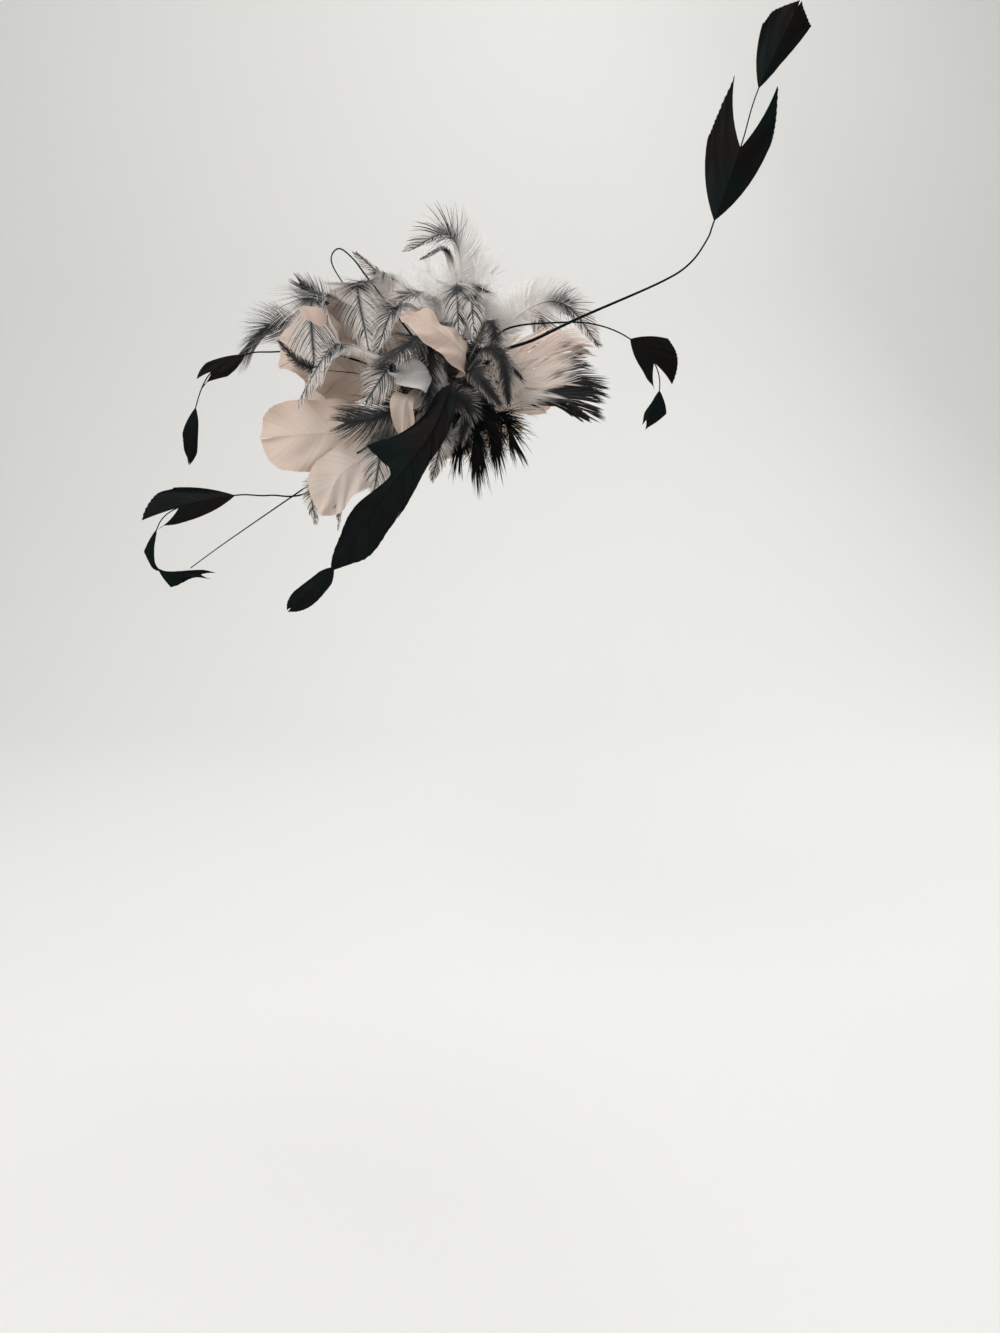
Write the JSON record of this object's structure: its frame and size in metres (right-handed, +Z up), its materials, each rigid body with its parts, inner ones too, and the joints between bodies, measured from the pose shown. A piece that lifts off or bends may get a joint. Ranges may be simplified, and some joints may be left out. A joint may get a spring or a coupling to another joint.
{
  "type": "feather fascinator",
  "caption": "Feather fascinator with blush goose petals, black-laced hackles, white down and trimmed black leaf sprigs on a small domed straw base with a hair comb",
  "frame": {"origin": "where the middle of the domed base rests on the head", "axes": "+X to the right as one faces the front of the cluster, +Y to the back, +Z up as worn"},
  "size_m": [0.3244, 0.1606, 0.2752],
  "materials": {
    "straw": "woven straw, matte",
    "felt": "matte felt",
    "comb": "smooth black",
    "blush_petal": "soft matte feather",
    "laced_hackle": "matte barbs, white edges on a black stripe",
    "smoke_hackle": "matte barbs, mostly black",
    "white_down": "matte down",
    "black_feather": "satin black vane"
  },
  "bodies": {
    "root": {"base_disc": "straw", "feather_mound": "felt", "hair_comb": "comb", "sprig_tall": "black_feather", "sprig_right": "black_feather", "sprig_left": "black_feather", "sprig_low_left": "black_feather", "quill_low_left": "black_feather", "sprig_front": "black_feather", "quill_loop": "black_feather", "black_tuft": "black_feather", "petal_low_left": "blush_petal", "petal_low": "blush_petal", "petal_left": "blush_petal", "petal_up_left": "blush_petal", "petal_crown": "blush_petal", "petal_mid": "blush_petal", "petal_mid_low": "blush_petal", "petal_back_right": "blush_petal", "petal_back_mid": "blush_petal", "petal_back_left": "blush_petal", "petal_back_low": "blush_petal", "blade_right_top": "blush_petal", "blade_right_mid": "blush_petal", "blade_right_low": "blush_petal", "blade_right_bottom": "blush_petal", "blade_right_under": "blush_petal", "hackle_top_curl": "laced_hackle", "hackle_top_eye": "laced_hackle", "hackle_top_left": "laced_hackle", "hackle_fold": "laced_hackle", "hackle_left_fold": "laced_hackle", "hackle_left_up": "smoke_hackle", "hackle_left_dark": "smoke_hackle", "hackle_left_streak": "smoke_hackle", "hackle_left_arc": "laced_hackle", "hackle_star": "smoke_hackle", "hackle_mid_white": "laced_hackle", "hackle_low_fan": "smoke_hackle", "hackle_low_white": "laced_hackle", "hackle_bottom_fan": "laced_hackle", "hackle_bottom_thin": "laced_hackle", "hackle_crown_left": "laced_hackle", "hackle_mid_left": "laced_hackle", "hackle_crown_mid": "laced_hackle", "hackle_crown_right": "laced_hackle", "hackle_crown_tips": "smoke_hackle", "hackle_right_arch": "laced_hackle", "hackle_right_dark": "smoke_hackle", "hackle_right_drop": "smoke_hackle", "hackle_right_slant": "smoke_hackle", "hackle_centre_dark": "smoke_hackle", "hackle_centre_black": "smoke_hackle", "hackle_front_white": "laced_hackle", "hackle_back_crown": "laced_hackle", "hackle_back_left": "laced_hackle", "hackle_back_right": "laced_hackle", "down_top": "white_down", "down_top_right": "white_down", "down_right": "white_down"}
  },
  "joints": []
}
